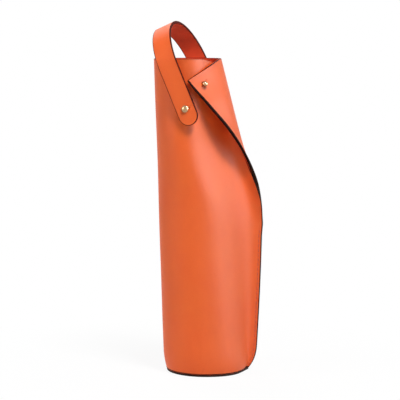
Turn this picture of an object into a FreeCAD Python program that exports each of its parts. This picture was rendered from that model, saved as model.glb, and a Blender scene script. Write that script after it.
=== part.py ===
import FreeCAD, Part
import math
import os

# Leather bottle carrier, millimetres, +Z up, origin at the middle of the base underside.
# +X points to the stitched side seam, -Y is the front with the closure.

# Body sizes
body_height = 325.0
seam_height = 155.0
base_radius = 44.0
rim_lean = 9.8
seam_allowance = 14.3
seam_flare = 6.0
corner_cut = 9.0
corner_draw = 3.0
corner_cut_height = 26.0
tuck_in = 2.6
tuck_height = 20.0
flat_edge = 6.0
flap_clearance = 2.7
skin_thickness = 1.5
lining_thickness = 1.4
glue_line = 0.1
fold_gap = 0.3

# Base sizes
sole_thickness = 2.4
sole_inset = 0.3
board_thickness = 2.0
base_lining_thickness = 1.2
base_fit = 0.1

# Seam stitch sizes
stitch_pitch = 5.0
stitch_inset = 2.3
stitch_low = 26.0
stitch_top_drop = 6.0
thread_width = 0.8
thread_rise = 0.6
thread_fit = 0.05

# Handle sizes
pivot_drop = 49.5
axis_reach = 4.5
strap_width = 20.0
strap_skin = 1.4
strap_lining = 1.2
strap_leg = 45.0
strap_tail = 17.0
strap_standoff = 3.5
side_gap = 0.15
cap_gap = 0.3

# Pivot stud sizes
barrel_radius = 1.9
barrel_fit = 0.05
cap_radius = 3.6
cap_rim = 0.8
cap_dome = 1.4
spacer_radius = 7.0
washer_radius = 4.2
washer_thickness = 1.6
screw_radius = 1.2
screw_fit = 0.03
screw_head_radius = 3.2
screw_head = 1.0
screw_length = 5.0
seat_gap = 0.05

# Closure sizes
closure_drop = 24.5
closure_inset = 9.65
ball_radius = 2.75
neck_radius = 1.6
flange_radius = 4.0
flange_thickness = 0.9
flap_hole_fit = 0.5
slit_width = 0.5
slit_length = 3.4
closure_washer_radius = 4.0
closure_screw_radius = 0.6

# Angles in degrees
handle_skew = 20.05
handle_lean = 23.5
slit_angle = 45.0

# Section shapes as shares of the base radius, at shares of the height from the seam's top to the rim
station_shares = [0.0, 0.15, 0.26, 0.37, 0.48, 0.59, 0.74, 0.88, 1.0]
edge_back_shares = [0.0, -0.104, -0.126, -0.077, 0.031, 0.205, 0.547, 0.885, 1.018]
edge_fore_shares = [0.0, 0.081, 0.183, 0.305, 0.485, 0.735, 0.958, 0.929, 0.9105]
edge_rise_shares = [0.0, 0.0, 0.0, 0.1, 0.3, 0.6, 0.9, 1.0, 1.0]
edge_turns = [0.0, -28.0, -52.0, -75.0, -95.0, -120.0, -143.0, -168.0, -185.0]
fold_turns = [0.0, -24.0, -48.0, -68.0, -84.0, -90.0, -90.0, -90.0, -90.0]
front_back_shares = [0.0, -0.054, -0.014, 0.042, 0.086, 0.102, 0.118, 0.136, 0.15]
front_fore_shares = [0.0, 0.0785, 0.127, 0.131, 0.128, 0.122, 0.114, 0.101, 0.09]
front_turns = [0.0, -20.0, -25.0, -14.0, -4.0, 8.0, 30.0, 56.0, 64.0]
middle_shares = [0.136, 0.141, 0.145, 0.155, 0.177, 0.216, 0.28, 0.37, 0.432]
fore_middle_shares = [0.136, 0.165, 0.26, 0.37, 0.44, 0.46, 0.38, 0.38, 0.432]
depth_shares = [0.955, 0.955, 0.955, 0.955, 0.955, 0.948, 0.916, 0.88, 0.864]
fore_depth_shares = [0.955, 0.955, 0.955, 0.955, 0.955, 0.945, 0.902, 0.852, 0.832]
reach_shares = [0.62, 0.615, 0.6, 0.58, 0.55, 0.55, 0.55, 0.55, 0.55]
draw_shares = [0.33, 0.34, 0.36, 0.39, 0.41, 0.41, 0.41, 0.41, 0.41]
front_reach_shares = [0.62, 0.605, 0.56, 0.48, 0.44, 0.44, 0.5, 0.57, 0.58]
front_draw_shares = [0.33, 0.327, 0.32, 0.31, 0.3, 0.3, 0.3, 0.3, 0.3]
base_reach_share = 0.97
base_draw_share = 0.05
round_share = 0.5523
fold_top_share = 0.3591
flap_draw_share = 0.54
flap_start_share = 0.035
core_start_share = 0.26
flap_drop_share = 0.62
dip_start_share = 0.07
dip_slope_share = 0.33
cap_arc_share = 0.5
step_share = 0.001
section_steps = 17
lower_steps = 14

wall_thickness = skin_thickness + glue_line + lining_thickness
fold_fore = wall_thickness + glue_line / 2
flap_rise = wall_thickness + flap_clearance
strap_thickness = strap_lining + glue_line + strap_skin
wall_bottom = sole_thickness
seam_reach = base_radius + seam_allowance
fold_top_reach = base_radius * fold_top_share
pivot_height = body_height - pivot_drop
closure_height = body_height - closure_drop

Vector = FreeCAD.Vector
up = Vector(0, 0, 1)


def smooth(places, values, place):
    # Cubic curve through the stations, with slopes taken from the neighbours.
    last = len(places) - 1
    if place <= places[0]:
        return values[0]
    if place >= places[last]:
        return values[last]
    rises = [(values[i + 1] - values[i]) / (places[i + 1] - places[i]) for i in range(last)]
    slopes = [rises[0]]
    for i in range(1, last):
        ahead = places[i + 1] - places[i]
        behind = places[i] - places[i - 1]
        slopes.append((rises[i - 1] * ahead + rises[i] * behind) / (ahead + behind))
    slopes.append(rises[-1])
    i = max(k for k in range(last) if places[k] <= place)
    step = places[i + 1] - places[i]
    t = (place - places[i]) / step
    return ((2 * t**3 - 3 * t**2 + 1) * values[i] + (t**3 - 2 * t**2 + t) * step * slopes[i]
            + (3 * t**2 - 2 * t**3) * values[i + 1] + (t**3 - t**2) * step * slopes[i + 1])


def heading(turn):
    return Vector(math.cos(math.radians(turn)), math.sin(math.radians(turn)), 0)


def corner_share(height):
    return max(0, 1 - height / corner_cut_height)**2


def seam_edge(height):
    reach = seam_reach - seam_flare * max(0, 1 - height / seam_height)**1.5
    return reach - corner_cut * corner_share(height)


def tuck(height):
    return tuck_in * max(0, 1 - (height - wall_bottom) / tuck_height)**2


def section(height):
    # The sheet's outer curve at one height, front end to left side to fold, and the flap's curve.
    left = -(base_radius + rim_lean * height / body_height) + tuck(height)
    place = (height - seam_height) / (body_height - seam_height)
    if place <= 0:
        share = height / seam_height
        middle = -middle_shares[0] * base_radius * share
        fore_middle = middle
        depth = base_radius * (1 + (depth_shares[0] - 1) * share) - tuck(height)
        fore_depth = depth
        fold = Vector(seam_edge(height), fold_fore, 0)
        front = Vector(seam_edge(height), -fold_fore, 0)
        fold_turn = 0.0
        front_turn = 0.0
        reach = base_reach_share + (reach_shares[0] - base_reach_share) * share
        draw = (base_draw_share + (draw_shares[0] - base_draw_share) * share) * base_radius
        front_reach = reach
        front_draw = draw
        edge = fold
        edge_turn = 0.0
    else:
        def at(values):
            return smooth(station_shares, values, place)
        middle = -at(middle_shares) * base_radius
        fore_middle = -at(fore_middle_shares) * base_radius
        depth = at(depth_shares) * base_radius
        fore_depth = at(fore_depth_shares) * base_radius
        fold_x = seam_reach + (fold_top_reach - seam_reach) * place
        fold = Vector(fold_x, fold_fore, 0)
        front = Vector(fold_x - at(front_back_shares) * base_radius,
                       -fold_fore - at(front_fore_shares) * base_radius, 0)
        fold_turn = at(fold_turns)
        front_turn = at(front_turns)
        reach = at(reach_shares)
        draw = at(draw_shares) * base_radius
        front_reach = at(front_reach_shares)
        front_draw = at(front_draw_shares) * base_radius
        edge = Vector(fold_x - at(edge_back_shares) * base_radius,
                      fold_fore - at(edge_fore_shares) * base_radius - at(edge_rise_shares) * flap_rise, 0)
        edge_turn = at(edge_turns)
    back_way = heading(fold_turn)
    front_way = heading(front_turn)
    half_gap = fold_gap / 2 * min(1, max(0, place) / flap_start_share)
    back_end = fold - back_way * half_gap
    flat = flat_edge - corner_draw * corner_share(height)
    back_bend = fold - back_way * flat
    front_bend = front - front_way * flat
    side = Vector(left, 0, 0)
    back = Vector(middle, depth, 0)
    fore = Vector(fore_middle, -fore_depth, 0)
    round_x = Vector(round_share * (middle - left), 0, 0)
    fore_round_x = Vector(round_share * (fore_middle - left), 0, 0)
    round_y = Vector(0, round_share * depth, 0)
    fore_round_y = Vector(0, round_share * fore_depth, 0)
    body = [
        [front, front_bend],
        [front_bend, front_bend - front_way * front_draw,
         fore + Vector(front_reach * (front_bend.x - fore_middle), 0, 0), fore],
        [fore, fore - fore_round_x, side - fore_round_y, side],
        [side, side + round_y, back - round_x, back],
        [back, back + Vector(reach * (back_bend.x - middle), 0, 0), back_bend - back_way * draw, back_bend],
        [back_bend, back_end]]
    flap_start = fold + back_way * half_gap
    edge_way = heading(edge_turn)
    span = edge - flap_start
    flap = [flap_start, flap_start + back_way * (flap_draw_share * abs(span.dot(back_way))),
            edge - edge_way * (flap_draw_share * abs(span.dot(edge_way))), edge]
    return body, flap


def inward(way):
    way = Vector(way)
    way.normalize()
    return Vector(way.y, -way.x, 0)


def offset(points, depth):
    start = points[0] + inward(points[1] - points[0]) * depth
    end = points[-1] + inward(points[-1] - points[-2]) * depth
    scale = (end - start).Length / (points[-1] - points[0]).Length
    if len(points) == 2:
        return [start, end]
    return [start, start + (points[1] - points[0]) * scale, end + (points[2] - points[3]) * scale, end]


def edge_of(points, height):
    lifted = [p + up * height for p in points]
    if len(points) == 2:
        return Part.LineSegment(lifted[0], lifted[1]).toShape()
    curve = Part.BezierCurve()
    curve.setPoles(lifted)
    return curve.toShape()


def backward(parts):
    return [list(reversed(points)) for points in reversed(parts)]


def ring_wire(parts, height, outer, inner):
    # Closed outline of one layer of the sheet between two depths under the outer surface.
    out = [offset(points, outer) for points in parts]
    back = backward([offset(points, inner) for points in parts])
    loop = out + [[out[-1][-1], back[0][0]]] + back + [[back[-1][-1], out[0][0]]]
    return Part.Wire([edge_of(points, height) for points in loop])


def core_wire(parts, height, depth):
    # Closed outline of everything inside one depth, closed straight across from the fold to the front end.
    out = [offset(points, depth) for points in parts]
    return Part.Wire([edge_of(points, height) for points in out + [[out[-1][-1], out[0][0]]]])


def upper_heights(start=0.0):
    rise = body_height - seam_height
    shares = [start + (1 - start) * i / section_steps for i in range(section_steps + 1)]
    return [seam_height + rise * share for share in shares]


def lower_heights():
    rise = seam_height - wall_bottom
    return [wall_bottom + rise * i / lower_steps for i in range(lower_steps + 1)]


def body_layer(outer, inner):
    low = Part.makeLoft([ring_wire(section(h)[0], h, outer, inner) for h in lower_heights()], True, False)
    high = Part.makeLoft([ring_wire(section(h)[0], h, outer, inner) for h in upper_heights()], True, False)
    return low.fuse(high)


def flap_layer(outer, inner):
    wires = [ring_wire([section(h)[1]], h, outer, inner) for h in upper_heights(flap_start_share)]
    return Part.makeLoft(wires, True, False)


def core(depth):
    heights = upper_heights(core_start_share)
    return Part.makeLoft([core_wire(section(h)[0], h, depth) for h in heights], True, False)


def bezier_point(points, t):
    rest = list(points)
    while len(rest) > 1:
        rest = [a * (1 - t) + b * t for a, b in zip(rest, rest[1:])]
    return rest[0]


def meet(points, test):
    # The place on a curve where a test value changes sign, by halving.
    low, high = 0.0, 1.0
    low_sign = test(bezier_point(points, low)) > 0
    for _ in range(60):
        half = (low + high) / 2
        if (test(bezier_point(points, half)) > 0) == low_sign:
            low = half
        else:
            high = half
    return low


def placed(shape, origin, way):
    shape = shape.copy()
    shape.Placement = FreeCAD.Placement(origin, FreeCAD.Rotation(up, way))
    return shape


def rod(radius, start, end, origin, way):
    return placed(Part.makeCylinder(radius, end - start, Vector(0, 0, start)), origin, way)


def turned(points, origin, way):
    # A solid turned about the local axis from radius and rise pairs; a three-point entry is an arc.
    edges = []
    here = points[0]
    for entry in points[1:]:
        if len(entry) == 3:
            middle, there = entry[1], entry[2]
            edges.append(Part.Arc(Vector(here[0], 0, here[1]), Vector(middle[0], 0, middle[1]),
                                  Vector(there[0], 0, there[1])).toShape())
            here = there
        else:
            line = Part.LineSegment(Vector(here[0], 0, here[1]), Vector(entry[0], 0, entry[1]))
            edges.append(line.toShape())
            here = entry
    face = Part.Face(Part.Wire(edges))
    return placed(face.revolve(Vector(0, 0, 0), up, 360), origin, way)


def prism(points, way):
    face = Part.Face(Part.makePolygon(points + [points[0]]))
    return face.extrude(way)


# Handle axis: a level line through both walls
axis_way = Vector(math.sin(math.radians(handle_skew)), math.cos(math.radians(handle_skew)), 0)
axis_side = Vector(axis_way.y, -axis_way.x, 0)
axis_base = Vector(-axis_reach, 0, 0)
pivot_section = section(pivot_height)[0]


def off_axis(point):
    return (point - axis_base).dot(axis_side)


def on_axis(parts):
    # The outer wall point that the handle axis passes through, from the two curves on that side.
    for points in parts:
        if off_axis(points[0]) * off_axis(points[-1]) <= 0:
            return bezier_point(points, meet(points, off_axis))
    return parts[0][0]


front_wall = on_axis([pivot_section[2], pivot_section[1]])
rear_wall = on_axis([pivot_section[3], pivot_section[4]])
pivot_middle = (front_wall + rear_wall) * 0.5 + up * pivot_height
wall_span = (rear_wall - front_wall).Length / 2
strap_start = wall_span + strap_standoff
strap_end = strap_start + strap_thickness
cap_start = strap_end + cap_gap
washer_end = wall_span - wall_thickness
washer_start = washer_end - washer_thickness

# Closure stud: normal to the front panel where it stands
closure_parts = section(closure_height)
closure_curve = closure_parts[0][1]
closure_x = closure_parts[1][-1].x + closure_inset
closure_t = meet(closure_curve, lambda point: point.x - closure_x)
closure_point = bezier_point(closure_curve, closure_t)
closure_ahead = bezier_point(closure_curve, closure_t + step_share)
closure_way = inward(closure_ahead - closure_point) * -1
closure_side = Vector(-closure_way.y, closure_way.x, 0)
closure_origin = closure_point + up * closure_height
flap_t = meet(closure_parts[1], lambda point: (point - closure_point).dot(closure_side))
flap_out = (bezier_point(closure_parts[1], flap_t) - closure_point).dot(closure_way)
neck_end = flap_out + flap_hole_fit
ball_middle = neck_end + math.sqrt(ball_radius**2 - neck_radius**2)

# Body layers
panel = body_layer(0.0, skin_thickness)
lining = body_layer(skin_thickness + glue_line, wall_thickness)
flap = flap_layer(0.0, skin_thickness)
flap_lining = flap_layer(skin_thickness + glue_line, wall_thickness)

# Trim of the flap's top edge and of the front panel's top edge
far = body_height
dip_x = -dip_start_share * base_radius
flap_trim = prism([Vector(fold_top_reach, -far, body_height),
                   Vector(fold_top_reach - far, -far, body_height - far * flap_drop_share),
                   Vector(fold_top_reach - far, -far, body_height + far),
                   Vector(fold_top_reach, -far, body_height + far)], Vector(0, far + wall_thickness, 0))
dip_trim = prism([Vector(dip_x, -far, body_height),
                  Vector(dip_x + far, -far, body_height - far * dip_slope_share),
                  Vector(dip_x + far, -far, body_height + far),
                  Vector(dip_x, -far, body_height + far)], Vector(0, far, 0))

# Seam thread: a square wave through both strips along a straight line near the edge
stitch_base = Vector(seam_edge(stitch_low) - stitch_inset, 0, stitch_low)
stitch_top_height = seam_height - stitch_top_drop
stitch_top = Vector(seam_edge(stitch_top_height) - stitch_inset, 0, stitch_top_height)
stitch_way = stitch_top - stitch_base
stitch_count = int(stitch_way.Length / stitch_pitch)
stitch_way.normalize()
stitch_across = Vector(stitch_way.z, 0, -stitch_way.x)


def stitch_point(run, fore):
    return stitch_base + stitch_way * run + Vector(0, fore, 0) - stitch_across * (thread_width / 2)


thread_in = fold_fore + thread_fit
thread_out = thread_in + thread_rise
half_thread = thread_width / 2
thread = None
for i in range(stitch_count):
    side = 1 if i % 2 == 0 else -1
    low, high = (thread_in, thread_out) if side > 0 else (-thread_out, -thread_in)
    run_start = i * stitch_pitch - half_thread
    run_end = (i + 1) * stitch_pitch + half_thread
    bar = prism([stitch_point(run_start, low), stitch_point(run_end, low),
                 stitch_point(run_end, high), stitch_point(run_start, high)], stitch_across * thread_width)
    thread = bar if thread is None else thread.fuse(bar)
slots = []
for i in range(stitch_count + 1):
    run = i * stitch_pitch
    rung = prism([stitch_point(run - half_thread, -thread_in), stitch_point(run + half_thread, -thread_in),
                  stitch_point(run + half_thread, thread_in), stitch_point(run - half_thread, thread_in)],
                 stitch_across * thread_width)
    thread = thread.fuse(rung)
    wide = half_thread + thread_fit
    slots.append(prism([stitch_point(run - wide, -thread_out) - stitch_across * thread_fit,
                        stitch_point(run + wide, -thread_out) - stitch_across * thread_fit,
                        stitch_point(run + wide, thread_out) - stitch_across * thread_fit,
                        stitch_point(run - wide, thread_out) - stitch_across * thread_fit],
                       stitch_across * (thread_width + 2 * thread_fit)))
thread = thread.removeSplitter()
slot_tool = Part.makeCompound(slots)

# Holes in the walls
front_way = axis_way * -1
stud_holes = [rod(barrel_radius + seat_gap, 0, strap_end, pivot_middle, front_way),
              rod(barrel_radius + seat_gap, 0, strap_end, pivot_middle, axis_way)]
closure_hole = rod(neck_radius + seat_gap, -base_radius / 2, flange_radius, closure_origin, closure_way)
wall_tools = stud_holes + [closure_hole, dip_trim]
panel = panel.cut(wall_tools).cut(slot_tool)
lining = lining.cut(wall_tools).cut(slot_tool)

# Buttonhole in the flap: a round hole with a slit running up to the right
slit_way = closure_side * math.cos(math.radians(slit_angle)) + up * math.sin(math.radians(slit_angle))
slit_across = slit_way.cross(closure_way)
slit_start = closure_origin - slit_across * (slit_width / 2)
slit_reach = neck_radius + flap_hole_fit + slit_length
slit = prism([slit_start, slit_start + slit_way * slit_reach,
              slit_start + slit_way * slit_reach + slit_across * slit_width,
              slit_start + slit_across * slit_width], closure_way * base_radius)
flap_hole = rod(neck_radius + flap_hole_fit, 0, base_radius, closure_origin, closure_way)
flap = flap.cut([flap_trim, flap_hole, slit])
flap_lining = flap_lining.cut([flap_trim, flap_hole, slit])

# Base pieces
sole_wire = core_wire(section(wall_bottom)[0][1:5], 0, sole_inset)
sole = Part.Face(sole_wire).extrude(up * sole_thickness)
board_radius = base_radius - tuck_in - wall_thickness - base_fit
board_top = wall_bottom + board_thickness
board = Part.makeCylinder(board_radius, board_thickness, up * wall_bottom)
base_lining = Part.makeCylinder(board_radius, base_lining_thickness, up * board_top)

# Handle strap: a flat loop in its own plane, leaning to the left
lean = math.radians(handle_lean)
leg_way = up * math.cos(lean) - axis_side * math.sin(lean)
width_way = axis_way.cross(leg_way)
strap_place = FreeCAD.Placement(FreeCAD.Matrix(
    axis_way.x, leg_way.x, width_way.x, pivot_middle.x,
    axis_way.y, leg_way.y, width_way.y, pivot_middle.y,
    axis_way.z, leg_way.z, width_way.z, pivot_middle.z,
    0, 0, 0, 1))


def strap_layer(inner, outer):
    def leg_line(start, end):
        return Part.LineSegment(start, end).toShape()

    def arc(radius):
        return Part.Arc(Vector(radius, strap_leg, 0), Vector(0, strap_leg + radius, 0),
                        Vector(-radius, strap_leg, 0)).toShape()
    loop = Part.Wire([
        leg_line(Vector(outer, -strap_tail, 0), Vector(outer, strap_leg, 0)), arc(outer),
        leg_line(Vector(-outer, strap_leg, 0), Vector(-outer, -strap_tail, 0)),
        leg_line(Vector(-outer, -strap_tail, 0), Vector(-inner, -strap_tail, 0)),
        leg_line(Vector(-inner, -strap_tail, 0), Vector(-inner, strap_leg, 0)), arc(inner),
        leg_line(Vector(inner, strap_leg, 0), Vector(inner, -strap_tail, 0)),
        leg_line(Vector(inner, -strap_tail, 0), Vector(outer, -strap_tail, 0))])
    half = strap_width / 2
    band = Part.Face(loop).extrude(Vector(0, 0, strap_width))
    band.translate(Vector(0, 0, -half))
    top = strap_leg + outer + half
    bend = half - strap_tail
    side = Part.Wire([
        leg_line(Vector(-top, top, -half), Vector(-top, bend, -half)),
        Part.Arc(Vector(-top, bend, -half), Vector(-top, -strap_tail, 0), Vector(-top, bend, half)).toShape(),
        leg_line(Vector(-top, bend, half), Vector(-top, top, half)),
        leg_line(Vector(-top, top, half), Vector(-top, top, -half))])
    band = band.common(Part.Face(side).extrude(Vector(2 * top, 0, 0)))
    hole = Part.makeCylinder(barrel_radius + barrel_fit, 2 * top, Vector(-top, 0, 0), Vector(1, 0, 0))
    band = band.cut(hole)
    band.Placement = strap_place
    return band


strap_lining_solid = strap_layer(strap_start, strap_start + strap_lining)
strap_solid = strap_layer(strap_start + strap_lining + glue_line, strap_end)

# Pivot studs, the same on both sides
outer_core = core(-seat_gap)
inner_core = core(wall_thickness + seat_gap)
cap_sphere = (cap_radius**2 + cap_dome**2) / (2 * cap_dome)
cap_half = cap_radius * cap_arc_share
cap_half_rise = math.sqrt(cap_sphere**2 - cap_half**2) - (cap_sphere - cap_dome)
pieces = {}
for name, way in (("front", front_way), ("rear", axis_way)):
    head_top = cap_start + cap_rim
    cap = turned([(0, cap_start), (cap_radius, cap_start), (cap_radius, head_top),
                  ("arc", (cap_half, head_top + cap_half_rise), (0, head_top + cap_dome)),
                  (0, cap_start)], pivot_middle, way)
    cap = cap.fuse(rod(barrel_radius, washer_start, cap_start, pivot_middle, way))
    cap = cap.cut(rod(screw_radius + screw_fit, washer_start, washer_start + screw_length + screw_head,
                      pivot_middle, way))
    pieces[name + "_stud_cap"] = cap.removeSplitter()
    spacer = rod(spacer_radius, washer_start, strap_start - side_gap, pivot_middle, way)
    bore = rod(barrel_radius + seat_gap, washer_start, strap_end, pivot_middle, way)
    spacer = spacer.cut([outer_core, bore])
    pieces[name + "_spacer"] = max(spacer.Solids, key=lambda solid: solid.Volume)
    washer = rod(washer_radius, washer_start, strap_start, pivot_middle, way).common(inner_core)
    washer = washer.cut(bore)
    pieces[name + "_washer"] = max(washer.Solids, key=lambda solid: solid.Volume)
    screw = rod(screw_head_radius, washer_start - screw_head, washer_start, pivot_middle, way)
    screw = screw.fuse(rod(screw_radius, washer_start, washer_start + screw_length, pivot_middle, way))
    pieces[name + "_screw"] = screw.removeSplitter()

# Closure stud, its washer and its screw
closure_in = -wall_thickness
closure_back = closure_in - washer_thickness
flange = rod(flange_radius, -flange_radius, flange_thickness, closure_origin, closure_way).cut(outer_core)
flange = max(flange.Solids, key=lambda solid: solid.Volume)
stud = flange.fuse(rod(neck_radius, closure_back, ball_middle, closure_origin, closure_way))
ball = Part.makeSphere(ball_radius)
stud = stud.fuse(placed(ball, closure_origin + closure_way * ball_middle, closure_way))
stud = stud.cut(rod(closure_screw_radius + screw_fit, closure_back, closure_back + screw_length,
                    closure_origin, closure_way))
pieces["closure_stud"] = stud.removeSplitter()
washer = rod(closure_washer_radius, closure_back, 0, closure_origin, closure_way).common(inner_core)
washer = washer.cut(rod(neck_radius + seat_gap, closure_back, flange_radius, closure_origin, closure_way))
pieces["closure_washer"] = max(washer.Solids, key=lambda solid: solid.Volume)
screw = rod(screw_head_radius, closure_back - screw_head, closure_back, closure_origin, closure_way)
screw = screw.fuse(rod(closure_screw_radius, closure_back, closure_back + screw_length - screw_head,
                       closure_origin, closure_way))
pieces["closure_screw"] = screw.removeSplitter()

pieces["body_panel"] = panel
pieces["body_lining"] = lining
pieces["closure_flap"] = flap
pieces["closure_flap_lining"] = flap_lining
pieces["side_seam_thread"] = thread
pieces["base_sole"] = sole
pieces["base_board"] = board
pieces["base_lining"] = base_lining
pieces["handle_strap"] = strap_solid
pieces["handle_strap_lining"] = strap_lining_solid

os.makedirs("parts", exist_ok=True)
for name in sorted(pieces):
    shape = pieces[name]
    solids = shape.Solids
    solid = max(solids, key=lambda each: each.Volume)
    box = solid.optimalBoundingBox(False)
    print(name, len(solids), round(solid.Volume, 1), solid.isValid(), box)
    solid.exportStep("parts/" + name + ".step")

print("handle axis", pivot_middle, axis_way)
print("fold axis", Vector(seam_reach, fold_fore, seam_height), Vector(fold_top_reach, fold_fore, body_height))
print("closure", closure_origin, closure_way, flap_out, ball_middle)
print("wall span", wall_span, strap_start, strap_end, cap_start)
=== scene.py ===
# Leather bottle carrier: one folded and seamed sheet with a closure flap, a strap handle and brass studs.
import math

import bmesh
import bpy
import numpy as np
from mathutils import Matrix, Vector


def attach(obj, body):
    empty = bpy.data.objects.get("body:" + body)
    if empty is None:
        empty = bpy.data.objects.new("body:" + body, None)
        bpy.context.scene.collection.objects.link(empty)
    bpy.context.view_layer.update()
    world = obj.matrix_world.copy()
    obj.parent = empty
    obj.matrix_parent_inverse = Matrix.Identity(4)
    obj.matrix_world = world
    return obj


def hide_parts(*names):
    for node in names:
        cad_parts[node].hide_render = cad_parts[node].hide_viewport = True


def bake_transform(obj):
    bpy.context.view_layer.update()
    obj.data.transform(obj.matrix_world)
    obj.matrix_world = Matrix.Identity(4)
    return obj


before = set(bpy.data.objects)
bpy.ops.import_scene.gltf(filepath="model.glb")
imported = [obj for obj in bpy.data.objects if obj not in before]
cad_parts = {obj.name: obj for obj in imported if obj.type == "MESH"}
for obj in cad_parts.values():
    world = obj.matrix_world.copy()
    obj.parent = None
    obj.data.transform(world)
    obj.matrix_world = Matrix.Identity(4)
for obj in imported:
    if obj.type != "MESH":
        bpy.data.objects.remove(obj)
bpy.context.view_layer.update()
scene = bpy.context.scene
scene.view_settings.view_transform = "Standard"
mm = 0.001

# Body sizes, in metres as in the solid parts
body_height = 325 * mm
seam_height = 155 * mm
base_radius = 44 * mm
seam_reach = base_radius + 14.3 * mm
fold_top_reach = 0.3591 * base_radius
rim_lean = 9.8 * mm
seam_flare = 6 * mm
corner_cut = 9 * mm
corner_draw = 5.4 * mm
corner_cut_height = 30 * mm
corner_power = 3
tuck_in = 2.6 * mm
tuck_height = 20 * mm
flat_edge = 6 * mm
paint_depth = 0.9 * mm
paint_ease = 14 * mm
skin_thickness = 1.5 * mm
wall_thickness = 3 * mm
layer_gap = 0.05 * mm
fold_fore = 3.05 * mm
flap_rise = 5.7 * mm
flap_foot = 157 * mm
flap_drop = 0.62
sole_thickness = 2.4 * mm
sole_inset = 0.3 * mm
board_top = 4.4 * mm
base_fit = 0.1 * mm
dip_start = -0.07 * base_radius
dip_slope = 0.33
dip_round = 2.5 * mm
even_height = 200 * mm

# Section shapes as shares of the base radius, at shares of the height from the seam's top to the rim
station_shares = [0.0, 0.15, 0.26, 0.37, 0.48, 0.59, 0.74, 0.88, 1.0]
edge_back_shares = [0.0, -0.104, -0.126, -0.077, 0.031, 0.205, 0.547, 0.885, 1.018]
edge_fore_shares = [0.0, 0.081, 0.183, 0.305, 0.485, 0.735, 0.958, 0.929, 0.9105]
edge_rise_shares = [0.0, 0.0, 0.0, 0.1, 0.3, 0.6, 0.9, 1.0, 1.0]
edge_turns = [0.0, -28.0, -52.0, -75.0, -95.0, -120.0, -143.0, -168.0, -185.0]
fold_turns = [0.0, -24.0, -48.0, -68.0, -84.0, -90.0, -90.0, -90.0, -90.0]
front_back_shares = [0.0, -0.088, -0.052, 0.015, 0.072, 0.1, 0.118, 0.136, 0.15]
front_fore_shares = [0.0, 0.0785, 0.127, 0.131, 0.128, 0.122, 0.114, 0.101, 0.09]
front_turns = [0.0, -20.0, -25.0, -14.0, -4.0, 8.0, 30.0, 56.0, 64.0]
middle_shares = [0.136, 0.141, 0.145, 0.155, 0.177, 0.216, 0.28, 0.37, 0.432]
fore_middle_shares = [0.136, 0.165, 0.26, 0.37, 0.44, 0.46, 0.38, 0.38, 0.432]
depth_shares = [0.955, 0.955, 0.955, 0.955, 0.955, 0.948, 0.916, 0.88, 0.864]
fore_depth_shares = [0.955, 0.955, 0.955, 0.955, 0.955, 0.945, 0.902, 0.852, 0.832]
reach_shares = [0.62, 0.615, 0.6, 0.58, 0.55, 0.55, 0.55, 0.55, 0.55]
draw_shares = [0.33, 0.34, 0.36, 0.39, 0.41, 0.41, 0.41, 0.41, 0.41]
front_reach_shares = [0.56, 0.53, 0.48, 0.43, 0.42, 0.44, 0.5, 0.57, 0.58]
front_draw_shares = [0.46, 0.47, 0.45, 0.4, 0.34, 0.31, 0.3, 0.3, 0.3]
base_reach_share = 0.97
base_draw_share = 0.05
root_draw_share = 0.2
root_height = 30 * mm
round_share = 0.5523
flap_draw_share = 0.54

# How the soft sheet eases past the seam's top, waves, and wears along its edges
ease_reach = 18 * mm
ease_start = 2 * mm
ease_width = 18 * mm
ease_height = 45 * mm
calm_width = 45 * mm
calm_height = 40 * mm
waves = ((0.2 * mm, 1.4, 230 * mm, 0.6), (0.12 * mm, 2.6, -120 * mm, 2.0))
groove_depth = 0.22 * mm
groove_spread = 0.012
groove_fade = 6 * mm
edge_wear_width = 2.6 * mm
disc_wear_width = 1.5 * mm
strap_wear_width = 2.2 * mm
crisp_angle = math.radians(42)

# Painted edges: shares are of the wall's thickness, bulges are of the paint's own height
edge_half = wall_thickness / 2 + layer_gap
edge_proud = 0.3 * mm
fine_share = 0.7
foot_share = 1.04
foot_rise = 0.3
foot_bulge = 2
flap_edge_drop = 1.8 * mm

# Handle, studs and closure, with the places that the solid parts work out
pivot = Vector((-5.1883, -1.886, 275.5)) * mm
axis_way = Vector((0.34284, 0.9393938, 0))
handle_lean = math.radians(23.5)
wall_span = 40.6631 * mm
strap_start = 44.1631 * mm
strap_end = 46.8631 * mm
strap_lining = 1.2 * mm
strap_width = 20 * mm
strap_leg = 45 * mm
strap_tail = 17 * mm
cap_start = 47.1631 * mm
cap_radius = 3.6 * mm
cap_rim = 0.8 * mm
cap_dome = 1.4 * mm
cap_round = 0.3 * mm
dome_inset = 0.35 * mm
barrel_radius = 1.9 * mm
hole_fit = 0.1 * mm
stud_depth = 4 * mm
spacer_radius = 7 * mm
spacer_depth = 1.2 * mm
spacer_gap = 0.15 * mm
closure = Vector((-5.3041, -34.7309, 300.5)) * mm
closure_way = Vector((0.5285895, -0.8488776, 0))
ball_rise = 7.926 * mm
ball_radius = 2.75 * mm
neck_radius = 1.6 * mm
flange_radius = 4 * mm
flange_thickness = 0.9 * mm
flap_hole_radius = 2.1 * mm
slit_length = 3.4 * mm
slit_width = 0.5 * mm
stitch_pitch = 5 * mm
stitch_inset = 2.3 * mm
stitch_low = 6 * mm
stitch_top_drop = 4 * mm
stitch_sink = 0.22 * mm


def smooth(t):
    return t * t * (3 - 2 * t)


def unit(ways):
    ways = np.asarray(ways, float)
    return ways / np.maximum(np.linalg.norm(ways, axis=-1, keepdims=True), 1e-9)


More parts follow.
